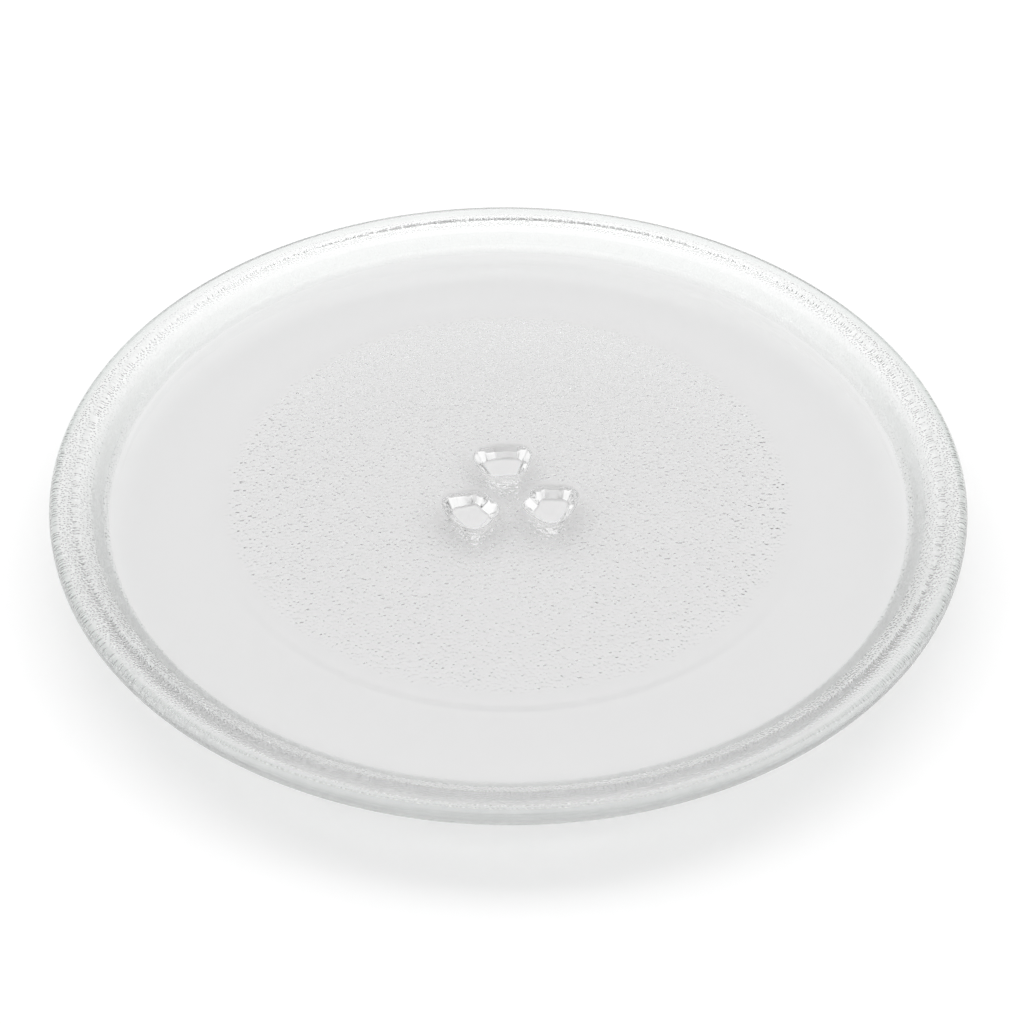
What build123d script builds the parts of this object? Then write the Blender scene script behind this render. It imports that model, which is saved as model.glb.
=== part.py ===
from build123d import *
import math
import os

# Pressed glass turntable plate of a microwave oven: a shallow dish with an upturned rim, a smooth
# underside track for a roller ring, and three lugs under the middle that a drive coupler turns.
# Millimetres. The lug tips stand on z = 0, the axis of the plate is Z, and one lug points to +Y.

# Dish
plate_diameter = 245.0
floor_thickness = 4.8
rim_rise = 6.0
wall_run = 8.5
wall_thickness = 4.8
lip_width = 7.0
lip_thickness = 5.0

# Middle disc on the underside, which stands proud of the roller track
disc_diameter = 158.5
disc_step = 0.6
step_run = 4.0

# Drive lugs, measured at their tips
lug_count = 3
lug_height = 7.0
lug_inner_radius = 8.5
lug_outer_radius = 16.4
lug_spread = 42.0
lug_draft = 20.0

# Roundings of the pressed glass
foot_radius = 7.0
shoulder_radius = 2.0
edge_radius = 2.2
under_lip_radius = 9.0
step_radius = 18.0
lug_corner_radius = 1.6
lug_tip_radius = 0.8
lug_root_radius = 1.2

# Heights, from the lug tips up
disc_face = lug_height
track_face = disc_face + disc_step
floor_face = track_face + floor_thickness
lip_face = floor_face + rim_rise
lip_underside = lip_face - lip_thickness

# Radii of the section's corners. The wall's two faces are parallel, wall_thickness apart.
outer_radius = plate_diameter / 2
shoulder = outer_radius - lip_width
foot = shoulder - wall_run
slope = rim_rise / wall_run
wall_drop = wall_thickness * math.hypot(1, slope)
under_shoulder = shoulder + (wall_drop - lip_thickness) / slope
under_foot = foot + (wall_drop - floor_thickness) / slope
disc_edge = disc_diameter / 2
track_edge = disc_edge + step_run


def dish():
    """The round body of the plate, turned from its half section."""
    lip_edge_radius = min(edge_radius, 0.45 * lip_thickness)
    lip_run = outer_radius - lip_edge_radius - under_shoulder
    under_bend_radius = min(under_lip_radius, 0.95 * lip_run / math.tan(math.atan(slope) / 2))
    with BuildPart() as body:
        with BuildSketch(Plane.XZ):
            with BuildLine():
                section = FilletPolyline(
                    (0, floor_face),
                    (foot, floor_face),
                    (shoulder, lip_face),
                    (outer_radius, lip_face),
                    (outer_radius, lip_underside),
                    (under_shoulder, lip_underside),
                    (under_foot, track_face),
                    (track_edge, track_face),
                    (disc_edge, disc_face),
                    (0, disc_face),
                    radius=[
                        foot_radius,
                        shoulder_radius,
                        lip_edge_radius,
                        lip_edge_radius,
                        under_bend_radius,
                        foot_radius,
                        step_radius,
                        step_radius,
                    ],
                )
                Line(section @ 1, section @ 0)
            make_face()
        revolve(axis=Axis.Z)
    return body.part


def drive_lug():
    """One lug pointing to +Y: a sector with drafted walls, wider at its root than at its tip."""
    first_angle = 90 - lug_spread / 2
    with BuildPart() as lug:
        with BuildSketch(Plane.XY):
            with BuildLine():
                outer = CenterArc((0, 0), lug_outer_radius, first_angle, lug_spread)
                inner = CenterArc((0, 0), lug_inner_radius, first_angle, lug_spread)
                Line(inner @ 0, outer @ 0)
                Line(inner @ 1, outer @ 1)
            outline = make_face()
            fillet(outline.vertices(), lug_corner_radius)
        extrude(amount=lug_height, taper=-lug_draft)
        tip = lug.faces().sort_by(Axis.Z)[0]
        fillet(tip.edges(), lug_tip_radius)
    return lug.part


def turntable_plate():
    """The plate in one piece: dish and lugs, with a fillet round the root of each lug."""
    with BuildPart() as plate:
        add(dish())
        with PolarLocations(0, lug_count):
            add(drive_lug())
        root_reach = lug_outer_radius + lug_height
        roots = [
            edge
            for edge in plate.edges().filter_by_position(Axis.Z, disc_face, disc_face)
            if math.hypot(edge.center().X, edge.center().Y) < root_reach
        ]
        fillet(roots, lug_root_radius)
    return plate.part


os.makedirs("parts", exist_ok=True)
export_step(turntable_plate(), "parts/turntable_plate.step")
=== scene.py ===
import math

import bpy
from mathutils import Matrix, Vector
from mathutils.geometry import delaunay_2d_cdt


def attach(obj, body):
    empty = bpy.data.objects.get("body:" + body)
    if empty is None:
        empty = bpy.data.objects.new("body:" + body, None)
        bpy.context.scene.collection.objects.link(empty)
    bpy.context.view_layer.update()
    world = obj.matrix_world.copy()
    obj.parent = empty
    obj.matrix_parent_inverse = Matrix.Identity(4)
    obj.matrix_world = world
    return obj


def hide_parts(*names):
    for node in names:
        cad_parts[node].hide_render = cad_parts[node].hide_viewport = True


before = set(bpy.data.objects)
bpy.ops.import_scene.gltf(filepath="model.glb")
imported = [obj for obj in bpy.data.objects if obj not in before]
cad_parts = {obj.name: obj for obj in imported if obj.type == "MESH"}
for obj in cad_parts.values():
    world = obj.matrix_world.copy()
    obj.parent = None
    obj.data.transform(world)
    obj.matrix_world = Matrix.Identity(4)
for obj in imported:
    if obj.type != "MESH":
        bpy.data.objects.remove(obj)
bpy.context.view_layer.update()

# The plate's body: a shallow round dish of clear soda-lime glass, pressed hot in a mould in one piece with
# its lugs. It is smooth above. Underneath, the mould stipples the middle disc and the rim, and leaves the
# track of the roller ring between them smooth.
mm = 0.001
rim_radius = 122.5 * mm
floor_thickness = 4.8 * mm
rim_rise = 6.0 * mm
wall_run = 8.5 * mm
wall_thickness = 4.8 * mm
lip_width = 7.0 * mm
lip_thickness = 5.0 * mm
disc_radius = 79.25 * mm
disc_step = 0.6 * mm
step_run = 4.0 * mm
foot_rounding = 7.0 * mm
shoulder_rounding = 2.0 * mm
edge_rounding = 2.2 * mm
under_lip_rounding = 9.0 * mm
step_rounding = 18.0 * mm

disc_face = 7.0 * mm
track_face = disc_face + disc_step
floor_face = track_face + floor_thickness
lip_face = floor_face + rim_rise
lip_underside = lip_face - lip_thickness
shoulder_radius = rim_radius - lip_width
foot_radius = shoulder_radius - wall_run
wall_slope = rim_rise / wall_run
wall_drop = wall_thickness * math.hypot(1, wall_slope)
under_shoulder_radius = shoulder_radius + (wall_drop - lip_thickness) / wall_slope
under_foot_radius = foot_radius + (wall_drop - floor_thickness) / wall_slope

arc_step = math.radians(4.5)
guard = 0.5 * mm
smooth_sides = 360
rim_sides = 840
rim_pitch = 0.7 * mm
disc_pitch = 0.95 * mm
rim_stipple = (under_foot_radius - 0.6 * mm, rim_radius - 0.9 * mm)
rim_fade = 0.8 * mm
disc_fade = 6 * mm


def rounded_path(corners, roundings):
    """Points along straight runs whose inner corners are rounded by tangent arcs."""
    corners = [Vector(corner) for corner in corners]
    path = [corners[0]]
    for before, corner, after, rounding in zip(corners, corners[1:], corners[2:], roundings):
        back = (before - corner).normalized()
        ahead = (after - corner).normalized()
        half = back.angle(ahead) / 2
        centre = corner + (back + ahead).normalized() * rounding / math.sin(half)
        start = (corner + back * rounding / math.tan(half) - centre).normalized()
        end = (corner + ahead * rounding / math.tan(half) - centre).normalized()
        steps = max(3, math.ceil(start.angle(end) / arc_step))
        path += [centre + rounding * start.slerp(end, step / steps) for step in range(steps + 1)]
    return path + [corners[-1]]


def guarded(path):
    """The path with a point close to each end of its long runs, so that flat stretches shade flat."""
    points = [path[0]]
    for start, end in zip(path, path[1:]):
        run = end - start
        if run.length > 4 * guard:
            points += [start + run.normalized() * guard, end - run.normalized() * guard]
        points.append(end)
    return points


def bridge(faces, ring, following):
    """Triangles between two rings of points, each spaced evenly from the same angle."""
    here, there = 0, 0
    near, far = len(ring), len(following)
    while here < near or there < far:
        if there < far and (here == near or (there + 1) / far <= (here + 1) / near):
            faces.append((ring[here % near], following[there % far], following[(there + 1) % far]))
            there += 1
        else:
            faces.append((ring[here % near], following[there % far], ring[(here + 1) % near]))
            here += 1


def add_ring(points, radius, height, sides):
    """One round of points about the axis, and their numbers."""
    first = len(points)
    for side in range(sides):
        angle = 2 * math.pi * side / sides
        points.append((radius * math.cos(angle), radius * math.sin(angle), height))
    return list(range(first, first + sides))


def ramp(value, low, high):
    """A smooth step from 0 at low to 1 at high."""
    share = min(1.0, max(0.0, (value - low) / (high - low)))
    return share * share * (3 - 2 * share)


section = rounded_path(
    [
        (0, floor_face),
        (foot_radius, floor_face),
        (shoulder_radius, lip_face),
        (rim_radius, lip_face),
        (rim_radius, lip_underside),
        (under_shoulder_radius, lip_underside),
        (under_foot_radius, track_face),
        (disc_radius + step_run, track_face),
        (disc_radius, disc_face),
        (0, disc_face),
    ],
    [
        foot_rounding,
        shoulder_rounding,
        edge_rounding,
        edge_rounding,
        under_lip_rounding,
        foot_rounding,
        step_rounding,
        step_rounding,
    ],
)
turned = guarded(section)[1:-2]

plate_points = []
plate_faces = []
rings = []
for start, end in zip(turned, turned[1:] + turned[-1:]):
    below = start.y < lip_underside + edge_rounding
    textured = below and rim_stipple[0] - 1 * mm < start.x < rim_stipple[1] + 1 * mm
    pieces = max(1, math.ceil((end - start).length / rim_pitch)) if textured else 1
    for piece in range(pieces):
        place = start.lerp(end, piece / pieces)
        rings.append(add_ring(plate_points, place.x, place.y, rim_sides if textured else smooth_sides))
plate_faces.append(tuple(rings[0]))
for ring, following in zip(rings, rings[1:]):
    bridge(plate_faces, ring, following)

# The lugs: three wedges pressed with the plate under its middle, between which the arms of the oven's drive
# coupler fit. Their walls have draft so that the plate leaves its mould, and their tips are flat and clear.
lug_count = 3
lug_inner_radius = 8.5 * mm
lug_outer_radius = 16.4 * mm
lug_spread = math.radians(42)
lug_draft = math.radians(20)
lug_corner_rounding = 1.6 * mm
lug_tip_rounding = 0.8 * mm
lug_root_rounding = 1.2 * mm
lug_pitch = 0.6 * mm
lug_clear_margin = (0.18 * mm, 0.9 * mm)


def arc(centre, radius, start, end):
    """Places and outward directions along an arc, without its last one."""
    steps = max(3, math.ceil(radius * abs(end - start) / lug_pitch))
    angles = [start + (end - start) * step / steps for step in range(steps)]
    ways = [Vector((math.cos(angle), math.sin(angle))) for angle in angles]
    return [(centre + radius * way, way) for way in ways]


def lug_outline():
    """The rounded sector of a lug's tip that points to +X: places and outward directions, anticlockwise."""
    half = lug_spread / 2
    far = lug_outer_radius - lug_corner_rounding
    close = lug_inner_radius + lug_corner_rounding
    far_turn = half - math.asin(lug_corner_rounding / far)
    close_turn = half - math.asin(lug_corner_rounding / close)
    axis = Vector((0, 0))
    far_left = far * Vector((math.cos(far_turn), math.sin(far_turn)))
    far_right = far * Vector((math.cos(far_turn), -math.sin(far_turn)))
    close_left = close * Vector((math.cos(close_turn), math.sin(close_turn)))
    close_right = close * Vector((math.cos(close_turn), -math.sin(close_turn)))
    square = math.pi / 2
    outline = arc(axis, lug_outer_radius, -far_turn, far_turn)
    outline += arc(far_left, lug_corner_rounding, far_turn, half + square)
    outline += side(far_left, close_left, half + square)
    outline += arc(close_left, lug_corner_rounding, half + square, math.pi + close_turn)
    inner = arc(axis, lug_inner_radius, close_turn, -close_turn)
    outline += [(place, -way) for place, way in inner]
    outline += arc(close_right, lug_corner_rounding, math.pi - close_turn, 3 * square - half)
    outline += side(close_right, far_right, 3 * square - half)
    outline += arc(far_right, lug_corner_rounding, 3 * square - half, 2 * math.pi - far_turn)
    return outline


def side(start, end, facing):
    """Places and outward directions along a straight side between two corners, without its last one."""
    way = Vector((math.cos(facing), math.sin(facing)))
    steps = max(3, math.ceil((end - start).length / lug_pitch))
    return [(start.lerp(end, step / steps) + lug_corner_rounding * way, way) for step in range(steps)]


lug_wall = rounded_path(
    [
        (lug_root_rounding * 2 + disc_face * math.tan(lug_draft), disc_face),
        (disc_face * math.tan(lug_draft), disc_face),
        (0, 0),
        (-lug_tip_rounding * 2, 0),
    ],
    [lug_root_rounding, lug_tip_rounding],
)
lug_wall = guarded(lug_wall)[1:-1]
outline = lug_outline()
to_back = Matrix.Rotation(math.pi / 2, 2)
lug_points = []
lug_faces = []
lug_rings = []
for reach, height in lug_wall:
    first = len(lug_points)
    for place, way in outline:
        spot = to_back @ (place + reach * way)
        lug_points.append((spot.x, spot.y, height))
    lug_rings.append(list(range(first, first + len(outline))))
for ring, following in zip(lug_rings, lug_rings[1:]):
    bridge(lug_faces, ring, following)
lug_faces.append(tuple(reversed(lug_rings[-1])))

# The middle disc of the underside, pressed a little proud of the track. It is meshed in rings of like
# spacing, and round the lugs it follows their roots, so that plate and lugs weld into one closed piece.
first_gap = 0.4 * disc_pitch
root_gap = 0.6 * disc_pitch
disc_rings = math.floor((turned[-1].x - first_gap) / disc_pitch)
root_reach = lug_wall[0][0]
lug_patch_rings = math.ceil((lug_outer_radius + root_reach + 2 * disc_pitch) / disc_pitch)
previous = rings[-1]
for number in range(disc_rings, lug_patch_rings - 1, -1):
    ring = add_ring(plate_points, number * disc_pitch, disc_face, 6 * number)
    bridge(plate_faces, previous, ring)
    previous = ring


def gap_to_lugs(x, y):
    """The distance from a spot on the disc to the nearest lug's root."""
    return min((Vector((x, y)) - root).length for root in lug_roots)


lug_roots = []
root_loops = []
for number in range(lug_count):
    turn = Matrix.Rotation(math.pi / 2 + 2 * math.pi * number / lug_count, 2)
    loop = [turn @ (place + root_reach * way) for place, way in outline]
    root_loops.append(loop)
    lug_roots += loop


def inside_lug(spot):
    """Whether a spot of the disc lies under a lug, by the turns of the root loops round it."""
    for loop in root_loops:
        crossings = 0
        for start, end in zip(loop, loop[1:] + loop[:1]):
            if (start.y > spot.y) != (end.y > spot.y):
                across = start.x + (end.x - start.x) * (spot.y - start.y) / (end.y - start.y)
                crossings += across > spot.x
        if crossings % 2:
            return True
    return False


patch_spots = [Vector(plate_points[number][:2]) for number in previous]
patch_numbers = list(previous)
patch_edges = [(number, (number + 1) % len(previous)) for number in range(len(previous))]
for loop in root_loops:
    first = len(patch_spots)
    patch_edges += [(first + number, first + (number + 1) % len(loop)) for number in range(len(loop))]
    for spot in loop:
        patch_spots.append(spot)
        patch_numbers.append(len(plate_points))
        plate_points.append((spot.x, spot.y, disc_face))
for number in range(lug_patch_rings - 1, -1, -1):
    for step in range(max(1, 6 * number)):
        angle = 2 * math.pi * step / max(1, 6 * number)
        spot = number * disc_pitch * Vector((math.cos(angle), math.sin(angle)))
        if not inside_lug(spot) and gap_to_lugs(spot.x, spot.y) > root_gap:
            patch_spots.append(spot)
            patch_numbers.append(len(plate_points))
            plate_points.append((spot.x, spot.y, disc_face))
spots, _, triangles, sources, _, _ = delaunay_2d_cdt(patch_spots, patch_edges, [], 0, 1e-9)
for triangle in triangles:
    middle = sum((spots[corner] for corner in triangle), Vector((0, 0))) / 3
    if not inside_lug(middle):
        corners = [patch_numbers[sources[corner][0]] for corner in triangle]
        plate_faces.append(tuple(reversed(corners)))

# The finish that the mould gives each spot of the plate: stippled, finely grained or frosted. The lip
# is calmer at the front and the back, the wall is grained less than the lip, and the outer edge is frosted.
# The tint share is painted shade: the frosted rim is greyed, and the outer edge is darker grey-green,
# partly the glass's own green edge and partly painted shade.
lip_start = (shoulder_radius - 1 * mm, shoulder_radius + 1 * mm)
edge_frost = (rim_radius - 0.6 * mm, rim_radius - 0.2 * mm)
# The outer edge's darker grey-green: partly the glass's own green edge, partly painted shade.
edge_green_and_shade = (rim_radius - 2.4 * mm, rim_radius - 1.6 * mm)
calm_span = (0.3, 0.9)
front_calm = 0.9
back_calm = 0.5
wall_grain = 0.8
# How far the frosted rim is darkened towards the edge colour: painted shade.
frost_painted_shade = 0.4
disc_slack = 0.01 * mm
stipple = []
grain = []
frost = []
tint_and_painted_shade = []
for x, y, z in plate_points:
    radius = math.hypot(x, y)
    share = 0.0
    fine = 0.0
    frosted = 0.0
    if z < disc_face + disc_slack:
        share = 1 - ramp(radius, disc_radius - disc_fade, disc_radius)
        if radius < lug_patch_rings * disc_pitch:
            share = ramp(gap_to_lugs(x, y), *lug_clear_margin)
    elif z < lip_underside + edge_rounding and radius > rim_stipple[0]:
        frosted = ramp(radius, rim_stipple[0], rim_stipple[0] + rim_fade)
        frosted *= 1 - ramp(radius, rim_stipple[1] - rim_fade, rim_stipple[1])
        on_lip = ramp(radius, *lip_start)
        calm = max(front_calm * ramp(-y / radius, *calm_span), back_calm * ramp(y / radius, *calm_span))
        share = frosted * (1 - calm * on_lip)
        fine = share * (wall_grain + (1 - wall_grain) * on_lip)
    frosted = max(frosted, ramp(radius, *edge_frost))
    stipple.append(share)
    grain.append(fine)
    frost.append(frosted)
    # The tint share: painted shade on the frosted rim, and at the outer edge partly green glass, partly
    # painted shade.
    tint_and_painted_shade.append(max(frost_painted_shade * frosted, ramp(radius, *edge_green_and_shade)))

clear_colour = (0.99, 0.99, 0.99, 1.0)
# The edge colour is darker than clear glass: partly the green of a glass edge, partly painted shade.
edge_green_and_shade_colour = (0.79, 0.82, 0.805, 1.0)
refraction = 1.52
relief = 0.16 * mm
pit_cell = 0.95 * mm
pit_depth = 1.8
dot_cell = 0.85 * mm
dot_scatter = 0.8
dot_radius = 0.5
dot_depth = 1.25
stipple_roughness = 0.04
frost_roughness = 0.25


class Value:
    """A socket of a node tree: arithmetic on it adds Math nodes, and node() adds a node of any other kind."""

    def __init__(self, tree, socket=None):
        self.tree = tree
        self.socket = socket

    def node(self, kind, settings=None, sockets=None, out=0):
        made = self.tree.nodes.new(kind)
        for name, setting in (settings or {}).items():
            setattr(made, name, setting)
        for name, value in (sockets or {}).items():
            if isinstance(value, Value):
                self.tree.links.new(value.socket, made.inputs[name])
            else:
                made.inputs[name].default_value = value
        return Value(self.tree, made.outputs[out]) if len(made.outputs) else None

    def math(self, operation, first, second):
        return self.node("ShaderNodeMath", {"operation": operation}, {0: first, 1: second})

    def __add__(self, other):
        return self.math("ADD", self, other)

    __radd__ = __add__

    def __sub__(self, other):
        return self.math("SUBTRACT", self, other)

    def __rsub__(self, other):
        return self.math("SUBTRACT", other, self)

    def __mul__(self, other):
        return self.math("MULTIPLY", self, other)

    __rmul__ = __mul__

    def __truediv__(self, other):
        return self.math("DIVIDE", self, other)

    def __rtruediv__(self, other):
        return self.math("DIVIDE", other, self)


def pressed_glass():
    """Clear glass with fine pits and dots where the mould stipples it, greyed by painted shade where the rim
    is frosted, and darker grey-green at the outer edge, partly its own green edge and partly painted shade.
    """
    material = bpy.data.materials.new("pressed_glass")
    material.use_nodes = True
    tree = material.node_tree
    tree.nodes.clear()
    value = Value(tree)
    place = value.node("ShaderNodeTexCoord", out="Object")
    stippled = value.node("ShaderNodeAttribute", {"attribute_name": "stipple"}, out="Fac")
    grained = value.node("ShaderNodeAttribute", {"attribute_name": "grain"}, out="Fac")
    frosted = value.node("ShaderNodeAttribute", {"attribute_name": "frost"}, out="Fac")
    tint_and_shade_share = value.node("ShaderNodeAttribute", {"attribute_name": "tint_and_painted_shade"}, out="Fac")
    coarse = value.node("ShaderNodeTexNoise", {}, {"Vector": place, "Scale": 1 / pit_cell, "Detail": 0.0})
    dotting = {"Vector": place, "Scale": 1 / dot_cell, "Randomness": dot_scatter}
    cells = value.node("ShaderNodeTexVoronoi", {"voronoi_dimensions": "2D"}, dotting)
    pits = (coarse - 0.5) * (stippled - grained) * pit_depth
    dots = value.math("MAXIMUM", dot_radius - cells, 0.0) * grained * dot_depth
    bump = value.node("ShaderNodeBump", {}, {"Strength": 1.0, "Distance": relief, "Height": pits + dots})
    # Base Color mixes towards the edge colour by the tint share: painted shade on the frosted rim, and at the
    # outer edge partly green glass, partly painted shade.
    tint_and_shade_mix = {0: tint_and_shade_share, 6: clear_colour, 7: edge_green_and_shade_colour}
    colour = value.node("ShaderNodeMix", {"data_type": "RGBA"}, tint_and_shade_mix, out=2)
    glass = value.node(
        "ShaderNodeBsdfPrincipled",
        {"distribution": "GGX"},
        {
            "Base Color": colour,
            "Roughness": stippled * stipple_roughness + frosted * frost_roughness,
            "IOR": refraction,
            "Transmission Weight": 1.0,
            "Normal": bump,
        },
    )
    value.node("ShaderNodeOutputMaterial", {}, {"Surface": glass})
    return material


def plain_object(name, points, faces):
    """A mesh object at the origin."""
    mesh = bpy.data.meshes.new(name)
    mesh.from_pydata(points, [], faces)
    made = bpy.data.objects.new(name, mesh)
    bpy.context.collection.objects.link(made)
    return made


def pressing_tree(material):
    """Sets the lugs round the axis, welds them to the plate and stipples it where the mould does."""
    tree = bpy.data.node_groups.new("pressing", "GeometryNodeTree")
    sockets = [
        ("Plate", "INPUT", "NodeSocketGeometry"),
        ("Lug", "INPUT", "NodeSocketObject"),
        ("Lug Count", "INPUT", "NodeSocketInt"),
        ("Cell", "INPUT", "NodeSocketFloat"),
        ("Depth", "INPUT", "NodeSocketFloat"),
        ("Weld", "INPUT", "NodeSocketFloat"),
        ("Plate", "OUTPUT", "NodeSocketGeometry"),
    ]
    for name, way, kind in sockets:
        tree.interface.new_socket(name, in_out=way, socket_type=kind)
    value = Value(tree)
    given = tree.nodes.new("NodeGroupInput").outputs
    inputs = {socket.name: Value(tree, socket) for socket in given if socket.name}
    lug = value.node("GeometryNodeObjectInfo", {}, {"Object": inputs["Lug"]}, out="Geometry")
    starts = value.node("GeometryNodePoints", {}, {"Count": inputs["Lug Count"]})
    turn = value.node("GeometryNodeInputIndex") * (2 * math.pi / inputs["Lug Count"])
    rotation = value.node("ShaderNodeCombineXYZ", {}, {"Z": turn})
    lugs = value.node(
        "GeometryNodeInstanceOnPoints", {}, {"Points": starts, "Instance": lug, "Rotation": rotation}
    )
    realized = value.node("GeometryNodeRealizeInstances", {}, {"Geometry": lugs})
    join = tree.nodes.new("GeometryNodeJoinGeometry")
    tree.links.new(inputs["Plate"].socket, join.inputs[0])
    tree.links.new(realized.socket, join.inputs[0])
    whole = Value(tree, join.outputs[0])
    welded = value.node("GeometryNodeMergeByDistance", {}, {"Geometry": whole, "Distance": inputs["Weld"]})
    mask = value.node("GeometryNodeInputNamedAttribute", {"data_type": "FLOAT"}, {"Name": "stipple"})
    grain = value.node("ShaderNodeTexNoise", {}, {"Scale": 1 / inputs["Cell"], "Detail": 1.0}, out="Fac")
    depth = (grain - 0.5) * mask * inputs["Depth"]
    normal = value.node("GeometryNodeInputNormal")
    offset = value.node("ShaderNodeVectorMath", {"operation": "SCALE"}, {0: normal, "Scale": depth})
    stippled = value.node("GeometryNodeSetPosition", {}, {"Geometry": welded, "Offset": offset})
    shaded = value.node("GeometryNodeSetShadeSmooth", {}, {"Geometry": stippled})
    dressed = value.node("GeometryNodeSetMaterial", {}, {"Geometry": shaded, "Material": material})
    value.node("NodeGroupOutput", {}, {"Plate": dressed})
    return tree


def settled(made, tree, settings):
    """The object with the tree's result as its own plain mesh."""
    modifier = made.modifiers.new("making", "NODES")
    modifier.node_group = tree
    for socket in tree.interface.items_tree:
        if socket.in_out == "INPUT" and socket.name in settings:
            modifier[socket.identifier] = settings[socket.name]
    depsgraph = bpy.context.evaluated_depsgraph_get()
    mesh = bpy.data.meshes.new_from_object(made.evaluated_get(depsgraph), depsgraph=depsgraph)
    made.modifiers.clear()
    made.data = mesh
    return made


glass = pressed_glass()
lug = plain_object("lug", lug_points, lug_faces)
plate = plain_object("glass_plate", plate_points, plate_faces)
for name, shares in {"stipple": stipple, "grain": grain, "frost": frost, "tint_and_painted_shade": tint_and_painted_shade}.items():
    attribute = plate.data.attributes.new(name, "FLOAT", "POINT")
    attribute.data.foreach_set("value", shares)
pressing = {"Lug": lug, "Lug Count": lug_count, "Cell": 1.2 * mm, "Depth": 0.05 * mm, "Weld": 0.001 * mm}
settled(plate, pressing_tree(glass), pressing)
bpy.data.objects.remove(lug)
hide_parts("turntable_plate")
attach(plate, "root")

# The table: a plain sheet of matt white paper, laid flat under the plate and wide enough to fill the view.
# The lug tips stand a hair's breadth above it.
table_half = 3.0
table_top = -0.02 * mm
table_points = [(-table_half, -table_half, table_top), (table_half, -table_half, table_top)]
table_points += [(table_half, table_half, table_top), (-table_half, table_half, table_top)]
table = plain_object("table", table_points, [(0, 1, 2, 3)])
paper = bpy.data.materials.new("white_table")
paper.use_nodes = True
sheet = paper.node_tree.nodes["Principled BSDF"].inputs
sheet["Base Color"].default_value = (0.98, 0.98, 0.98, 1.0)
sheet["Roughness"].default_value = 1.0
sheet["Specular IOR Level"].default_value = 0.0
table.data.materials.append(paper)

# The studio: a wide soft lamp above and behind the plate, which throws its shadow to the front, inside an
# even white tent that is dimmer near the horizon and round the camera. The glass doesn't mirror the lamp.
lamp_place = Vector((0.05, 0.42, 0.9))
strip = bpy.data.lights.new("strip_lamp", "AREA")
strip.shape = "RECTANGLE"
strip.size = 1.8
strip.size_y = 0.45
strip.energy = 3.2
strip.cycles.use_multiple_importance_sampling = False
lamp = bpy.data.objects.new("strip_lamp", strip)
lamp.location = lamp_place
lamp.rotation_euler = (-lamp_place).to_track_quat("-Z", "Y").to_euler()
bpy.context.collection.objects.link(lamp)

tent_light = 1.04
horizon_loss = 0.42
horizon_spread = 1.5
camera_way = Vector((-0.08, -0.75, 0.66)).normalized()
camera_loss = 0.9
camera_spread = 45.0
studio = bpy.data.worlds.new("studio")
studio.use_nodes = True
studio.node_tree.nodes.clear()
value = Value(studio.node_tree)
way = value.node("ShaderNodeTexCoord", out="Generated")
both = {0: way, 1: camera_way}
facing = value.node("ShaderNodeVectorMath", {"operation": "DOT_PRODUCT"}, both, out="Value")
near_camera = value.math("POWER", value.math("MAXIMUM", facing, 0.0), camera_spread)
height = value.node("ShaderNodeSeparateXYZ", {}, {"Vector": way}, out="Z")
low = value.math("POWER", 1.0 - value.math("MAXIMUM", height, 0.0), horizon_spread)
strength = tent_light - near_camera * camera_loss - low * horizon_loss
sky = value.node("ShaderNodeBackground", {}, {"Color": (1.0, 1.0, 1.0, 1.0), "Strength": strength})
value.node("ShaderNodeOutputWorld", {}, {"Surface": sky})
studio.cycles.sampling_method = "NONE"
bpy.context.scene.world = studio

# The camera: a long lens that looks down on the plate from the front, with the first lug almost straight
# behind. Light may cross the glass many times, because it runs far along the inside of the rim.
camera_distance = 0.63
camera_rise = math.radians(41.6)
camera_turn = math.radians(-96.7)
camera_roll = math.radians(0.37)
aim = Vector((0, 0, 9.74 * mm))
focal_pixels = 2320
image_pixels = 1024
aim_pixel = (508.5, 489.0)
lens = bpy.data.cameras.new("camera")
lens.sensor_width = 36.0
lens.lens = lens.sensor_width * focal_pixels / image_pixels
lens.shift_x = (image_pixels / 2 - aim_pixel[0]) / image_pixels
lens.shift_y = (aim_pixel[1] - image_pixels / 2) / image_pixels
camera = bpy.data.objects.new("camera", lens)
level = math.cos(camera_rise)
outward = Vector((level * math.cos(camera_turn), level * math.sin(camera_turn), math.sin(camera_rise)))
camera.location = aim + camera_distance * outward
camera.rotation_mode = "QUATERNION"
roll = Matrix.Rotation(camera_roll, 3, "Z").to_quaternion()
camera.rotation_quaternion = outward.to_track_quat("Z", "Y") @ roll
bpy.context.collection.objects.link(camera)
bpy.context.scene.camera = camera
bpy.context.scene.view_settings.view_transform = "Standard"
paths = bpy.context.scene.cycles
paths.blur_glossy = 0.1
glass_bounces = 13
paths.max_bounces = glass_bounces
paths.glossy_bounces = glass_bounces
paths.transmission_bounces = glass_bounces
paths.diffuse_bounces = 1
